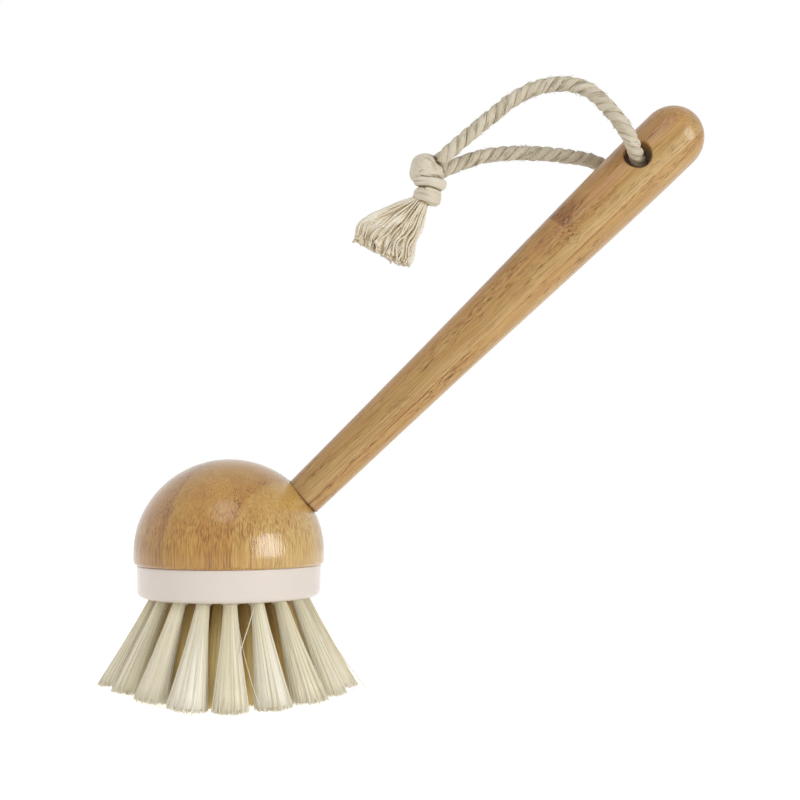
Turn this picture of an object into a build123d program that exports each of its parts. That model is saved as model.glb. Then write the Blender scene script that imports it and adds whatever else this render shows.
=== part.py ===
from build123d import *
import math
import os

# Dish brush with a ball head, a leaning handle and a rope loop. Sizes are in millimetres.
# The origin is on the head's axis at the level that the bristles stand on. +Z is up, the handle leans
# towards +X, and the brush is seen from -Y.

# Ball head
ball_radius = 30.0
ball_centre_rise = 3.3  # the ball's centre above its flat base
ball_edge_radius = 1.3

# Brush plate
plate_radius = 28.95
plate_thickness = 10.0
plate_draft = 1.5  # degrees, narrower below
plate_edge_radius = 1.9
plate_top_edge = 0.4
bristle_height = 30.2  # from the standing level to the plate

# Screw joint between the plate and the ball
spigot_radius = 15.5
spigot_height = 5.0
spigot_wall = 3.0
spigot_chamfer = 0.6
thread_clearance = 0.25
insert_wall = 2.4
insert_setback = 0.2  # from the ball's flat base
spigot_end_gap = 0.8
glue_gap = 0.05

# Handle
handle_lean = 44.2  # degrees above the horizontal
handle_axis_drop = 4.65  # where its axis crosses the head's axis, below the ball's centre
seat_depth = 1.1
seat_margin = 0.3
handle_length = 173.7  # from its seat on the ball to its tip
neck_radius = 6.4
butt_radius = 10.15
handle_hollow = 0.05  # how far its outline curves in between the neck and the butt
neck_slope = 0.018
neck_chamfer = 0.3
tenon_radius = 4.5
tenon_length = 13.0
tenon_chamfer = 0.8
bore_end_gap = 0.5
hole_radius = 4.3
hole_from_tip = 24.4
hole_turn = 20.7  # degrees about the handle's axis, from straight front to back
hole_edge_radius = 0.5

# Tufts
tuft_hole_radius = 2.05
tuft_hole_depth = 7.0
tuft_clearance = 0.05
bristle_width = 0.7
bristle_root = 1.0  # how far each bristle starts inside its tuft's root
inner_bristle_circle = 0.8
outer_bristle_circle = 1.6
inner_bristle_count = 3
outer_bristle_count = 7
trim_rise = 1.5  # how much the trimmed end rises from the middle to the rim
trim_radius = 41.0
trim_flat = 0.5  # how deep the end is cut flat where it stands
trim_power = 3  # a flat middle that curves up towards the rim

# Rows of tufts: count, circle radius, tilt, turn of the first one from the front, and how much wider
# the tuft is at its tip than at its root
outer_circle_radius = 23.2
middle_circle_radius = 17.2
inner_circle_radius = 11.1
core_circle_radius = 5.5
tuft_rows = {
    "outer": (18, outer_circle_radius, 24.0, 8.7, 2.5),
    "middle": (12, middle_circle_radius, 17.5, 28.7, 2.5),
    "inner": (8, inner_circle_radius, 12.0, 10.0, 2.3),
    "core": (4, core_circle_radius, 6.5, 45.0, 2.0),
}
centre_tip_share = 1.7

# Wire anchors
anchor_thickness = 0.4
anchor_height = 1.6
anchor_clearance = 0.05

# Rope loop, knot and tassel
rope_radius = 2.35
arc_share = 0.45  # of the shorter run beside a corner, taken by the corner's arc
knot_ball_radius = 5.7
knot_lobe_radius = 3.0
knot_collar_radius = 4.1
tassel_neck_radius = 3.2
tassel_end_width = 22.0
tassel_end_depth = 11.0
tassel_waist_share = 0.5  # of its length, where it is tassel_waist_width wide
tassel_waist_width = 14.0
tassel_waist_depth = 8.5

# The rope's route, from the knot along the front, through the hole and back behind the handle
rope_points = [
    (66.3, -2.7, 167.4),
    (73.9, -3.1, 174.1),
    (82.6, -4.0, 180.9),
    (89.7, -5.3, 186.4),
    (97.3, -6.8, 189.5),
    (105.5, -8.5, 190.0),
    (112.3, -10.6, 187.3),
    (117.1, -12.8, 181.7),
    (121.2, -15.1, 175.6),
    (125.5, -13.5, 169.6),
    (134.6, 12.8, 162.6),
    (129.3, 19.6, 166.9),
    (119.4, 14.9, 172.3),
    (109.1, 11.0, 172.9),
    (97.9, 7.5, 173.0),
    (85.3, 5.0, 172.1),
    (75.4, 3.5, 169.5),
    (67.0, 2.7, 165.5),
]
knot_centre = (62.9, 0.0, 164.6)
knot_lobe_centre = (66.4, -0.6, 160.3)
knot_collar_centre = (62.5, 0.0, 157.6)
tassel_top = (60.6, 0.0, 156.2)
tassel_end = (47.7, 0.0, 138.1)

# Levels and frames that several pieces share
plate_base_level = bristle_height
ball_base_level = plate_base_level + plate_thickness
ball_centre = Vector(0, 0, ball_base_level + ball_centre_rise)
insert_bore_radius = spigot_radius + thread_clearance
insert_radius = insert_bore_radius + insert_wall
recess_radius = insert_radius + glue_gap
recess_depth = spigot_height + spigot_end_gap

lean = math.radians(handle_lean)
handle_direction = Vector(math.cos(lean), 0, math.sin(lean))
handle_side = Vector(-math.sin(lean), 0, math.cos(lean))
axis_crossing = ball_centre - Vector(0, 0, handle_axis_drop)
axis_offset = handle_axis_drop * math.cos(lean)
ball_reach = handle_axis_drop * math.sin(lean) + math.sqrt(ball_radius**2 - axis_offset**2)
handle_seat = axis_crossing + handle_direction * (ball_reach - seat_depth)
seat_plane = Plane(origin=handle_seat, x_dir=(0, 1, 0), z_dir=handle_direction)
handle_outline_plane = Plane(origin=handle_seat, x_dir=handle_direction, z_dir=(0, -1, 0))
butt_start = handle_length - butt_radius

os.makedirs("parts", exist_ok=True)


# Head dome: a ball with a flat base, a recess for the screw insert, and the handle's seat and bore
base_radius = math.sqrt(ball_radius**2 - ball_centre_rise**2)
with BuildPart() as head_dome:
    with BuildSketch(Plane.XZ):
        with BuildLine():
            Line((0, ball_base_level), (base_radius, ball_base_level))
            ThreePointArc(
                (base_radius, ball_base_level),
                (ball_radius * math.cos(lean), ball_centre.Z + ball_radius * math.sin(lean)),
                (0, ball_centre.Z + ball_radius),
            )
            Line((0, ball_centre.Z + ball_radius), (0, ball_base_level))
        make_face()
    revolve(axis=Axis.Z)
    fillet(head_dome.edges().filter_by(GeomType.CIRCLE).sort_by(Axis.Z)[0], ball_edge_radius)
    with BuildSketch(Plane.XY.offset(ball_base_level)):
        Circle(recess_radius)
    extrude(amount=recess_depth, mode=Mode.SUBTRACT)
    with BuildSketch(seat_plane):
        Circle(neck_radius + seat_margin)
    extrude(amount=butt_radius, mode=Mode.SUBTRACT)
    with BuildSketch(seat_plane):
        Circle(tenon_radius + glue_gap)
    extrude(amount=-(tenon_length + bore_end_gap), mode=Mode.SUBTRACT)
head_dome.part.label = "head_dome"
export_step(head_dome.part, "parts/head_dome.step")


# Socket insert: the ring glued into the ball, which the plate screws into
with BuildPart() as socket_insert:
    with BuildSketch(Plane.XY.offset(ball_base_level + insert_setback)):
        Circle(insert_radius)
        Circle(insert_bore_radius, mode=Mode.SUBTRACT)
    extrude(amount=recess_depth - insert_setback)
socket_insert.part.label = "socket_insert"
export_step(socket_insert.part, "parts/socket_insert.step")


# Handle: turned, with a tenon, a long taper, a ball end and a cross hole for the rope
hole_angle = math.radians(hole_turn)
hole_direction = handle_side * math.sin(hole_angle) + Vector(0, -1, 0) * math.cos(hole_angle)
hole_centre = handle_seat + handle_direction * (handle_length - hole_from_tip)
with BuildPart() as handle:
    with BuildSketch(handle_outline_plane):
        with BuildLine():
            Polyline(
                (butt_start + butt_radius, 0),
                (-tenon_length, 0),
                (-tenon_length, tenon_radius - tenon_chamfer),
                (-tenon_length + tenon_chamfer, tenon_radius),
                (0, tenon_radius),
                (0, neck_radius - neck_chamfer),
                (neck_chamfer, neck_radius),
            )
            Spline(
                (neck_chamfer, neck_radius),
                (butt_start / 2, (neck_radius + butt_radius) / 2 - handle_hollow),
                (butt_start, butt_radius),
                tangents=((1, neck_slope), (1, 0)),
            )
            CenterArc((butt_start, 0), butt_radius, 0, 90)
        make_face()
    revolve(axis=Axis(handle_seat, handle_direction))
    with BuildSketch(Plane(origin=hole_centre, x_dir=handle_direction, z_dir=hole_direction)):
        Circle(hole_radius)
    extrude(amount=2 * butt_radius, both=True, mode=Mode.SUBTRACT)
    mouths = handle.edges().filter_by(
        lambda edge: edge.geom_type != GeomType.LINE
        and (edge.center(CenterOf.BOUNDING_BOX) - hole_centre).length < butt_radius
    )
    fillet(mouths, hole_edge_radius)
handle.part.label = "handle"
export_step(handle.part, "parts/handle.step")


def tuft_frame(circle_radius, tilt, turn):
    """The foot of a tuft on the plate's lower face, with X outwards and Z up into its hole."""
    angle = math.radians(turn - 90)
    outward = Vector(math.cos(angle), math.sin(angle), 0)
    slope = math.radians(tilt)
    into_hole = Vector(0, 0, 1) * math.cos(slope) - outward * math.sin(slope)
    sideways = Vector(-outward.Y, outward.X, 0)
    return Plane(
        origin=outward * circle_radius + Vector(0, 0, plate_base_level),
        x_dir=sideways.cross(into_hole),
        z_dir=into_hole,
    )


def tuft_places():
    """Name, circle radius, tilt, turn and tip share of each tuft."""
    for row, (count, circle_radius, tilt, first_turn, tip_share) in tuft_rows.items():
        for i in range(count):
            turn = first_turn + 360 * i / count
            yield f"tuft_{row}_{i + 1:02d}", circle_radius, tilt, turn, tip_share
    yield "tuft_centre", 0, 0, 0, centre_tip_share


# Brush plate: a drafted disc with a hollow spigot above and a tilted hole for each tuft below
plate_base_radius = plate_radius - plate_thickness * math.tan(math.radians(plate_draft))
with BuildPart() as brush_plate:
    with BuildSketch(Plane.XZ):
        with BuildLine():
            Polyline(
                (0, plate_base_level),
                (plate_base_radius, plate_base_level),
                (plate_radius, ball_base_level),
                (0, ball_base_level),
                close=True,
            )
        make_face()
    revolve(axis=Axis.Z)
    rims = brush_plate.edges().filter_by(GeomType.CIRCLE).sort_by(Axis.Z)
    fillet(rims[0], plate_edge_radius)
    fillet(brush_plate.edges().filter_by(GeomType.CIRCLE).sort_by(Axis.Z)[-1], plate_top_edge)
    with BuildSketch(Plane.XY.offset(ball_base_level)):
        Circle(spigot_radius)
        Circle(spigot_radius - spigot_wall, mode=Mode.SUBTRACT)
    extrude(amount=spigot_height)
    top_edges = brush_plate.edges().filter_by(GeomType.CIRCLE).group_by(Axis.Z)[-1]
    chamfer(top_edges, spigot_chamfer)
    for name, circle_radius, tilt, turn, tip_share in tuft_places():
        foot = tuft_frame(circle_radius, tilt, turn)
        with BuildSketch(foot.offset(-tuft_hole_radius)):
            Circle(tuft_hole_radius)
        extrude(amount=tuft_hole_radius + tuft_hole_depth, mode=Mode.SUBTRACT)
brush_plate.part.label = "brush_plate"
export_step(brush_plate.part, "parts/brush_plate.step")


def tip_level(radius):
    """Height of the trimmed end at a distance from the head's axis: a shallow bowl, cut flat below."""
    return max(0, (trim_rise + trim_flat) * (radius / trim_radius) ** trim_power - trim_flat)


def bristle(circle_radius, tilt, turn, tip_share, out, along):
    """One straight bristle of square section with level ends, at its offsets in the tuft's foot."""
    angle = math.radians(turn - 90)
    outward = Vector(math.cos(angle), math.sin(angle), 0)
    sideways = Vector(-outward.Y, outward.X, 0)

    def point(level):
        drop = plate_base_level - level
        widening = 1 + (tip_share - 1) * drop / bristle_height
        distance = circle_radius + drop * math.tan(math.radians(tilt)) + out * widening
        return outward * distance + sideways * along * widening + Vector(0, 0, level)

    root = point(plate_base_level + bristle_root)
    full = point(0)
    tip = point(tip_level(math.hypot(full.X, full.Y)))
    section = Plane(origin=root, x_dir=outward, z_dir=(0, 0, 1)) * Rectangle(bristle_width, bristle_width)
    return extrude(section, amount=(tip - root).length, dir=(tip - root), mode=Mode.PRIVATE)


# Tufts: a root that fills its hole, with a slot for the anchor, and bristles that spread from it
bristle_offsets = [(0, 0)]
for ring_radius, ring_count in (
    (inner_bristle_circle, inner_bristle_count),
    (outer_bristle_circle, outer_bristle_count),
):
    for i in range(ring_count):
        angle = 2 * math.pi * i / ring_count
        bristle_offsets.append((ring_radius * math.cos(angle), ring_radius * math.sin(angle)))

root_radius = tuft_hole_radius - tuft_clearance
root_length = tuft_hole_depth - tuft_clearance
bristle_total = 0
for name, circle_radius, tilt, turn, tip_share in tuft_places():
    foot = tuft_frame(circle_radius, tilt, turn)
    bristles = [
        bristle(circle_radius, tilt, turn, tip_share, out, along) for out, along in bristle_offsets
    ]
    bristle_total += len(bristles)
    with BuildPart() as tuft:
        with BuildSketch(foot.offset(-root_radius)):
            Circle(root_radius)
        extrude(amount=root_radius + root_length)
        split(bisect_by=Plane.XY.offset(plate_base_level), keep=Keep.TOP)
        with BuildSketch(foot.offset(root_length)):
            Rectangle(anchor_thickness + 2 * anchor_clearance, 2 * tuft_hole_radius)
        extrude(amount=-(anchor_height + anchor_clearance), mode=Mode.SUBTRACT)
        add(bristles)
    tuft.part.label = name
    export_step(tuft.part, f"parts/{name}.step")
print("bristles:", bristle_total)


# Tuft anchors: a flat piece of wire across the bottom of each hole, in the fold of the bristles
anchor_width = 2 * math.sqrt(root_radius**2 - (anchor_thickness / 2) ** 2)
with BuildPart() as tuft_anchors:
    for name, circle_radius, tilt, turn, tip_share in tuft_places():
        with BuildSketch(tuft_frame(circle_radius, tilt, turn).offset(root_length)):
            Rectangle(anchor_thickness, anchor_width)
        extrude(amount=-anchor_height)
tuft_anchors.part.label = "tuft_anchors"
export_step(tuft_anchors.part, "parts/tuft_anchors.step")


def bend_radii(points):
    """The radius at each corner whose arc takes the same share of the shorter run beside it."""
    radii = []
    for before, corner, after in zip(points, points[1:], points[2:]):
        run_in, run_out = Vector(corner) - Vector(before), Vector(after) - Vector(corner)
        half_turn = math.radians(run_in.get_angle(run_out)) / 2
        radii.append(arc_share * min(run_in.length, run_out.length) / math.tan(half_turn))
    return radii


# Hanging cord: straight runs joined by tangent arcs, as large as the runs allow
rope_radii = bend_radii(rope_points)
print("rope radii:", [round(radius, 1) for radius in rope_radii])
with BuildPart() as hanging_cord:
    with BuildLine() as rope_path:
        FilletPolyline(*rope_points, radius=rope_radii)
    with BuildSketch(Plane(origin=rope_path.line @ 0, z_dir=rope_path.line % 0)):
        Circle(rope_radius)
    sweep()
hanging_cord.part.label = "hanging_cord"
export_step(hanging_cord.part, "parts/hanging_cord.step")
rope_length = sum(edge.length for edge in rope_path.edges())
rope_volume_share = hanging_cord.part.volume / (math.pi * rope_radius**2 * rope_length)
print("rope length:", round(rope_length, 1), "volume share:", round(rope_volume_share, 4))


# Cord knot: the ball of the overhand knot, with its side lobe and the turn below
with BuildPart() as cord_knot:
    with Locations(knot_centre):
        Sphere(knot_ball_radius)
    with Locations(knot_lobe_centre):
        Sphere(knot_lobe_radius)
    with Locations(knot_collar_centre):
        Sphere(knot_collar_radius)
cord_knot.part.label = "cord_knot"
export_step(cord_knot.part, "parts/cord_knot.step")


# Cord tassel: the combed-out ends, a flattened bell from the knot to its cut end
tassel_line = Vector(tassel_end) - Vector(tassel_top)
tassel_plane = Plane(origin=tassel_top, x_dir=(0, 1, 0), z_dir=tassel_line)
with BuildPart() as cord_tassel:
    with BuildSketch(tassel_plane):
        Circle(tassel_neck_radius)
    with BuildSketch(tassel_plane.offset(tassel_line.length * tassel_waist_share)):
        Ellipse(tassel_waist_depth / 2, tassel_waist_width / 2)
    with BuildSketch(tassel_plane.offset(tassel_line.length)):
        Ellipse(tassel_end_depth / 2, tassel_end_width / 2)
    loft()
cord_tassel.part.label = "cord_tassel"
export_step(cord_tassel.part, "parts/cord_tassel.step")
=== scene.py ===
import math
import random

import bmesh
import bpy
from mathutils import Matrix, Vector


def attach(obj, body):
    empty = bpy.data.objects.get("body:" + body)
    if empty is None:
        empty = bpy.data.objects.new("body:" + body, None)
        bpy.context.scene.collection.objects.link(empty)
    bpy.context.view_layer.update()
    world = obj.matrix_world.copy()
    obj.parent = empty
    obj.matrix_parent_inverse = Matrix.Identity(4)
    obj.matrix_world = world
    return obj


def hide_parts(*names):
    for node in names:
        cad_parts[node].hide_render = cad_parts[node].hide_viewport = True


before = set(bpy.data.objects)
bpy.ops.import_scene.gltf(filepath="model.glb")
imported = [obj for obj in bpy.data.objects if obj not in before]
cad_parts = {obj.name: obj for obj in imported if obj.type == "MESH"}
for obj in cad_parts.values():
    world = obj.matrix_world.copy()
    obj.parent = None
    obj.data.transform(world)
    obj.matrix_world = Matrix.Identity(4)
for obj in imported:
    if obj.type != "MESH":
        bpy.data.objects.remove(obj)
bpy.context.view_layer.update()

# Camera
# It stands level in front of the brush, below the middle of the picture, and a small upward shift takes
# in the handle's end, as a product photographer keeps upright sides upright.
mm = 0.001
camera_distance = 365 * mm
camera_height = 63.4 * mm
picture_middle = (54.0 * mm, 92.3 * mm)
picture_width = 253.97 * mm  # at the brush's middle plane
sensor_width = 36

camera_data = bpy.data.cameras.new("camera")
camera_data.sensor_width = sensor_width
camera_data.lens = sensor_width * camera_distance / picture_width
camera_data.shift_y = (picture_middle[1] - camera_height) / picture_width
camera_data.clip_start = 10 * mm
camera = bpy.data.objects.new("camera", camera_data)
camera.location = (picture_middle[0], -camera_distance, camera_height)
camera.rotation_euler = (math.radians(90), 0, 0)
bpy.context.scene.collection.objects.link(camera)
bpy.context.scene.camera = camera
bpy.context.scene.view_settings.view_transform = "Standard"


# Rope loop
# Natural cotton rope of three strands, each twisted from many yarns, laid left-handed. It leaves the knot,
# passes through the handle's hole from the front and comes back behind the handle to the knot.
rope_diameter = 4.7 * mm
rope_pitch = 11.6 * mm
strand_count = 3
strand_offset = 1.0 * mm  # of a strand's middle from the rope's
strand_half_width = 1.5 * mm
strand_half_depth = 1.4 * mm
yarns_in_strand = 9
yarn_twist = 14.0  # radians that the yarns turn in their strand from end to end
yarn_groove_width = 0.17  # radians to each side of a groove between two yarns
yarn_grooves_reach = (0.5, 2)  # middle and half length, so that they run from end to end
lay_wander = 0.12  # radians by which a strand's lay is uneven
lay_wander_length = 9 * mm
strand_swelling = 0.012
strand_swelling_phase = 130  # radians from end to end
strand_corners = 54  # round a strand's section
stray_fibres = 420
fibre_points = 4
fibre_radius = 0.045 * mm
fibre_root_depth = 0.25 * mm
fibre_curl = 0.35  # radians from one point to the next
rope_points = [
    (66.3, -2.7, 167.4), (73.9, -3.1, 174.1), (82.6, -4.0, 180.9), (89.7, -5.3, 186.4), (97.3, -6.8, 189.5),
    (105.5, -8.5, 190.0), (112.3, -10.6, 187.3), (117.1, -12.8, 181.7), (121.2, -15.1, 175.6),
    (125.5, -13.5, 169.6), (134.6, 12.8, 162.6), (129.3, 19.6, 166.9), (119.4, 14.9, 172.3),
    (109.1, 11.0, 172.9), (97.9, 7.5, 173.0), (85.3, 5.0, 172.1), (75.4, 3.5, 169.5), (67.0, 2.7, 165.5),
]


def smooth_line(points, step):
    """Points a step apart on the smooth curve that route points in millimetres control."""
    curve = bpy.data.curves.new("route", "CURVE")
    curve.dimensions = "3D"
    curve.resolution_u = 32
    spline = curve.splines.new("NURBS")
    spline.points.add(len(points) - 1)
    for control, place in zip(spline.points, points):
        control.co = (*(Vector(place) * mm), 1)
    spline.order_u = 3
    spline.use_endpoint_u = True
    holder = bpy.data.objects.new("route", curve)
    mesh = bpy.data.meshes.new_from_object(holder)
    places = [vertex.co.copy() for vertex in mesh.vertices]
    bpy.data.meshes.remove(mesh)
    bpy.data.objects.remove(holder)
    bpy.data.curves.remove(curve)
    travelled = [0]
    for start, end in zip(places, places[1:]):
        travelled.append(travelled[-1] + (end - start).length)
    count = max(2, round(travelled[-1] / step))
    line = []
    piece = 0
    for i in range(count + 1):
        distance = travelled[-1] * i / count
        while piece < len(places) - 2 and travelled[piece + 1] < distance:
            piece += 1
        share = (distance - travelled[piece]) / (travelled[piece + 1] - travelled[piece])
        line.append(places[piece].lerp(places[piece + 1], share))
    return line


def carried_frames(line, first_side):
    """Point, side and up at each point of a line, turning no more than the line does."""
    side = Vector(first_side)
    frames = []
    for i, place in enumerate(line):
        ahead = (line[min(i + 1, len(line) - 1)] - line[max(i - 1, 0)]).normalized()
        side = (side - ahead * side.dot(ahead)).normalized()
        frames.append((place, side.copy(), ahead.cross(side)))
    return frames


def tube_mesh(name, lines, bevel_resolution):
    """One mesh of round tubes with closed ends; a line is a list of (point, radius) in metres."""
    curve = bpy.data.curves.new(name, "CURVE")
    curve.dimensions = "3D"
    curve.bevel_depth = 1
    curve.bevel_resolution = bevel_resolution
    curve.use_fill_caps = True
    for line in lines:
        spline = curve.splines.new("POLY")
        spline.points.add(len(line) - 1)
        for control, (place, radius) in zip(spline.points, line):
            control.co = (*place, 1)
            control.radius = radius
    holder = bpy.data.objects.new(name, curve)
    mesh = bpy.data.meshes.new_from_object(holder)
    bpy.data.objects.remove(holder)
    bpy.data.curves.remove(curve)
    return mesh


def add_piece(name, mesh, body, material):
    """Links a finished mesh as a piece of the brush, closed, smooth and riding on its body."""
    tidy = bmesh.new()
    tidy.from_mesh(mesh)
    bmesh.ops.remove_doubles(tidy, verts=tidy.verts, dist=0.001 * mm)
    bmesh.ops.recalc_face_normals(tidy, faces=tidy.faces)
    tidy.to_mesh(mesh)
    tidy.free()
    mesh.polygons.foreach_set("use_smooth", [True] * len(mesh.polygons))
    mesh.name = name
    piece = bpy.data.objects.new(name, mesh)
    piece.data.materials.clear()
    piece.data.materials.append(material)
    bpy.context.scene.collection.objects.link(piece)
    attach(piece, body)
    return piece


def linear(hex_colour):
    """An sRGB hex colour as the linear RGBA that a shader socket takes."""
    channels = [int(hex_colour[i : i + 2], 16) / 255 for i in (1, 3, 5)]
    return [c / 12.92 if c <= 0.04045 else ((c + 0.055) / 1.055) ** 2.4 for c in channels] + [1]


def add_node(tree, kind, inputs=None, stops=None, **settings):
    """Adds a node. Each input takes a value or the socket that feeds it, and a ramp takes its stops."""
    node = tree.nodes.new(kind)
    for name, value in settings.items():
        setattr(node, name, value)
    for name, value in (inputs or {}).items():
        if isinstance(value, bpy.types.NodeSocket):
            tree.links.new(value, node.inputs[name])
        else:
            node.inputs[name].default_value = value
    if stops:
        elements = node.color_ramp.elements
        while len(elements) < len(stops):
            elements.new(1)
        for element, (position, colour) in zip(elements, stops):
            element.position = position
            element.color = linear(colour) if isinstance(colour, str) else (colour, colour, colour, 1)
    return node


def new_material(name):
    """An empty material and its node tree."""
    material = bpy.data.materials.new(name)
    material.use_nodes = True
    material.node_tree.nodes.clear()
    return material, material.node_tree


def noise(tree, place, size, detail, output="Fac"):
    """Noise with features of about a size, as a value or a colour."""
    inputs = {"Vector": place, "Scale": 1 / size, "Detail": detail}
    return add_node(tree, "ShaderNodeTexNoise", inputs).outputs[output]


def share_of(tree, value, low, high, most=1, least=0):
    """A value between two levels as a share from the least to the most."""
    inputs = {"Value": value, "From Min": low, "From Max": high, "To Min": least, "To Max": most}
    return add_node(tree, "ShaderNodeMapRange", inputs).outputs[0]


def mixed_colour(tree, share, first, second, blend_type="MIX"):
    """The first colour, mixed with the second as far as a share tells."""
    inputs = {"Fac": share, "Color1": first, "Color2": second}
    return add_node(tree, "ShaderNodeMixRGB", inputs, blend_type=blend_type).outputs["Color"]


def maths(tree, operation, *values):
    """One step of arithmetic on numbers and value sockets."""
    return add_node(tree, "ShaderNodeMath", dict(enumerate(values)), operation=operation).outputs[0]


def bumped(tree, height, strength, distance):
    """The normal of a surface that a height makes uneven."""
    inputs = {"Strength": strength, "Distance": distance, "Height": height}
    return add_node(tree, "ShaderNodeBump", inputs).outputs["Normal"]


def add_surface(tree, inputs):
    """Ends a material in a principled surface."""
    shader = add_node(tree, "ShaderNodeBsdfPrincipled", inputs)
    add_node(tree, "ShaderNodeOutputMaterial", {"Surface": shader.outputs["BSDF"]})


def undyed_cotton(name, pale, deep, crease, crease_shade_share):
    """Undyed cotton yarn: matt with a faint sheen, a little paler or yellower from place to place, with
    painted shade that darkens it down in its creases, and fine fibres that break up its surface. The fibre
    noise is drawn 0.3 mm wide, so that it shows."""
    material, tree = new_material(name)
    place = add_node(tree, "ShaderNodeTexCoord").outputs["Object"]
    island = add_node(tree, "ShaderNodeNewGeometry").outputs["Random Per Island"]
    patchiness = maths(tree, "ADD", island, noise(tree, place, 3 * mm, 3))
    colour = mixed_colour(tree, share_of(tree, patchiness, 0.35, 1.65), linear(deep), linear(pale))
    # Painted shade: where other yarn hems the surface in, the colour turns towards the darker crease colour.
    openness = add_node(tree, "ShaderNodeAmbientOcclusion", {"Distance": 1.3 * mm}, samples=8)
    painted_crease_shade = share_of(tree, openness.outputs["AO"], 0.9, 0.55, crease_shade_share)
    add_surface(
        tree,
        {
            "Base Color": mixed_colour(tree, painted_crease_shade, colour, linear(crease)),
            "Roughness": 0.9,
            "IOR": 1.45,
            "Specular IOR Level": 0.15,
            "Sheen Weight": 0.2,
            "Sheen Roughness": 0.5,
            "Normal": bumped(tree, noise(tree, place, 0.3 * mm, 2), strength=0.4, distance=0.08 * mm),
        },
    )
    return material


# The crease colour is painted shade.
rope_cotton = undyed_cotton(
    "undyed_cotton_rope", pale="#D3CAB8", deep="#C4BAA3", crease="#8A7850", crease_shade_share=0.9
)
rope_step = 0.75 * mm
rope_line = smooth_line(rope_points, rope_step)
rope_frames = carried_frames(rope_line, (0, 1, 0))
rope_random = random.Random(11)


def join_rings(build, rings, in_loop=False):
    """Joins rings of vertices with faces. Both ends are closed, unless the last ring joins the first."""
    following = rings[1:] + rings[:1] if in_loop else rings[1:]
    for first, second in zip(rings, following):
        for j in range(len(first)):
            k = (j + 1) % len(first)
            build.faces.new((first[j], first[k], second[k], second[j]))
    if not in_loop:
        build.faces.new(rings[0])
        build.faces.new(rings[-1])


def built_mesh(name, build):
    """The mesh that a bmesh has built, which is then freed."""
    mesh = bpy.data.meshes.new(name)
    build.to_mesh(mesh)
    build.free()
    return mesh


def add_band(build, line, facing, half_width, half_depth, corners, crease_width, creases, swell):
    """Adds a band of yarn along a line to a bmesh. Facing gives its outward side at each point, and swell
    how much of its size it has at a share of its length. A crease is an angle, a depth as a share of the
    radius, a drift round the band, and the middle and half length as shares of the band's."""
    rings = []
    for i, place in enumerate(line):
        ahead = (line[min(i + 1, len(line) - 1)] - line[max(i - 1, 0)]).normalized()
        outward = facing[i] - ahead * facing[i].dot(ahead)
        outward.normalize()
        across = ahead.cross(outward)
        share = i / (len(line) - 1)
        size = swell(share)
        present = []
        for crease_angle, depth, drift, middle, half_length in creases:
            strength = depth * math.exp(-(((share - middle) / half_length) ** 4))
            present.append((crease_angle + drift * share, strength))
        ring = []
        for j in range(corners):
            angle = 2 * math.pi * j / corners
            reach = 1.0
            for crease_angle, strength in present:
                turned = math.remainder(angle - crease_angle, 2 * math.pi)
                reach -= strength * math.exp(-((turned / crease_width) ** 2))
            offset = across * math.cos(angle) * half_width + outward * math.sin(angle) * half_depth
            ring.append(build.verts.new(place + offset * reach * size))
        rings.append(ring)
    join_rings(build, rings)


rope_build = bmesh.new()
for strand in range(strand_count):
    strand_wander = rope_random.uniform(0, 2 * math.pi)
    strand_line = []
    strand_facing = []
    for i, (place, side, up) in enumerate(rope_frames):
        distance = i * rope_step
        strand_angle = 2 * math.pi * (strand / strand_count - distance / rope_pitch)
        strand_angle += lay_wander * math.sin(distance / lay_wander_length + strand_wander)
        offset = side * math.cos(strand_angle) + up * math.sin(strand_angle)
        strand_line.append(place + offset * strand_offset)
        strand_facing.append(offset)
    creases = []
    for i in range(yarns_in_strand):
        turn = 2 * math.pi * (i + rope_random.uniform(-0.2, 0.2)) / yarns_in_strand
        creases.append((turn, rope_random.uniform(0.05, 0.12), yarn_twist, *yarn_grooves_reach))
    add_band(
        rope_build,
        strand_line,
        strand_facing,
        half_width=strand_half_width,
        half_depth=strand_half_depth,
        corners=strand_corners,
        crease_width=yarn_groove_width,
        creases=creases,
        swell=lambda share: 1 + strand_swelling * math.sin(share * strand_swelling_phase + strand_wander),
    )
rope_fibres = []
for _ in range(stray_fibres):
    start = rope_random.randrange(6, len(rope_frames) - 10)  # clear of the knot at both ends
    around = rope_random.uniform(0, 2 * math.pi)
    lift = rope_random.uniform(0.2, 0.75) * mm
    fibre_line = []
    for i in range(fibre_points):
        place, side, up = rope_frames[start + i]
        angle = around - fibre_curl * i
        outward = side * math.cos(angle) + up * math.sin(angle)
        height = rope_diameter / 2 - fibre_root_depth + lift * i / (fibre_points - 1)
        fibre_line.append((place + outward * height, fibre_radius))
    rope_fibres.append(fibre_line)
rope_build.from_mesh(tube_mesh("rope_fibres", rope_fibres, 1))
rope_mesh = built_mesh("rope_loop", rope_build)
rope = add_piece("rope_loop", rope_mesh, "handle_assembly", rope_cotton)
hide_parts("hanging_cord")


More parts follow.
